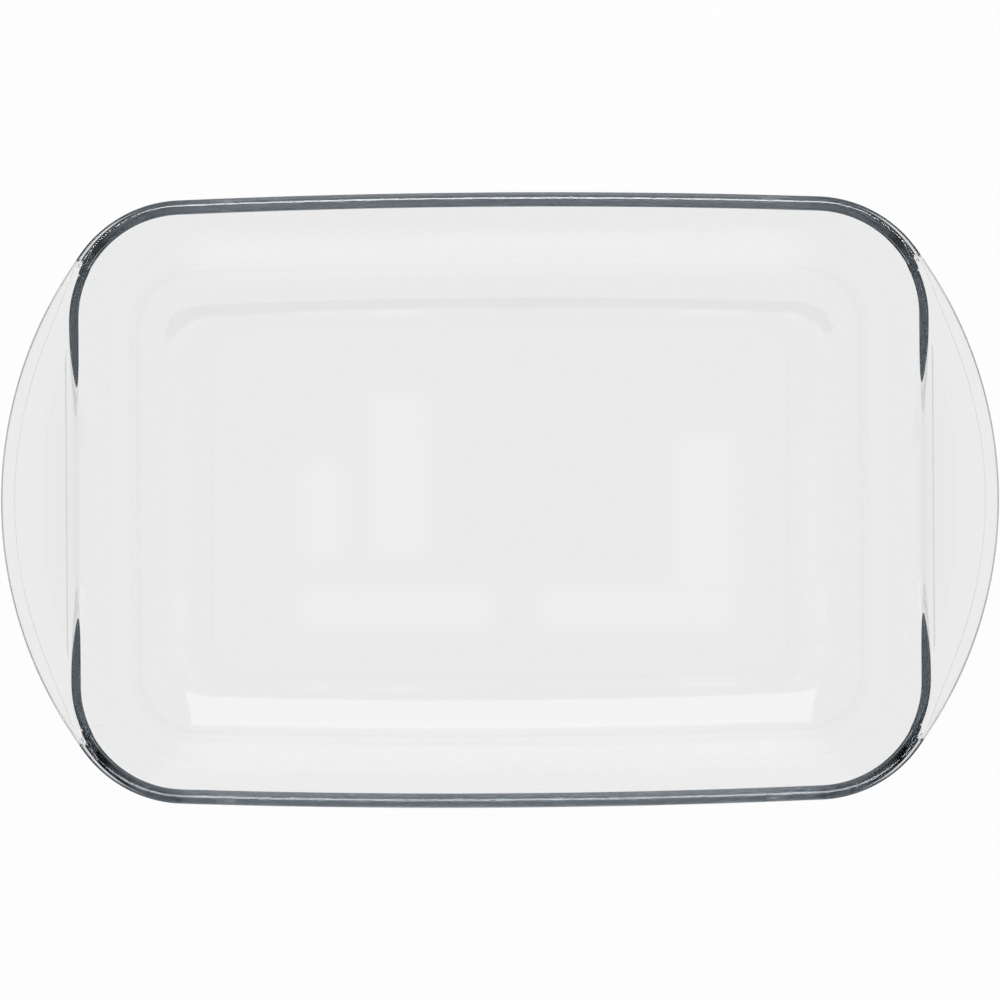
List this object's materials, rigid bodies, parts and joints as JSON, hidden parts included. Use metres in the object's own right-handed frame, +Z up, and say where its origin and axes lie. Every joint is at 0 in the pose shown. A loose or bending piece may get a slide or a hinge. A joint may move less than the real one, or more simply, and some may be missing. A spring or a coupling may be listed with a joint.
{
  "type": "glass baking dish",
  "caption": "Clear pressed-glass rectangular baking dish with sloping walls, rounded corners, a beaded rim and an ear-shaped handle flange at each short end.",
  "frame": {"origin": "on the table, under the middle of the dish", "axes": "+X along the dish towards one handle, +Y across the dish, +Z up"},
  "size_m": [0.3868, 0.2384, 0.0568],
  "materials": {
    "clear_glass": "clear, fire polished, with a faint slate tint in thick sections"
  },
  "bodies": {
    "root": {"floor_panel": "clear_glass", "foot_ring": "clear_glass", "right_wall": "clear_glass", "back_right_corner": "clear_glass", "back_wall": "clear_glass", "back_left_corner": "clear_glass", "left_wall": "clear_glass", "front_left_corner": "clear_glass", "front_wall": "clear_glass", "front_right_corner": "clear_glass", "rim_bead": "clear_glass", "right_handle": "clear_glass", "left_handle": "clear_glass", "right_handle_web": "clear_glass", "left_handle_web": "clear_glass"}
  },
  "joints": []
}
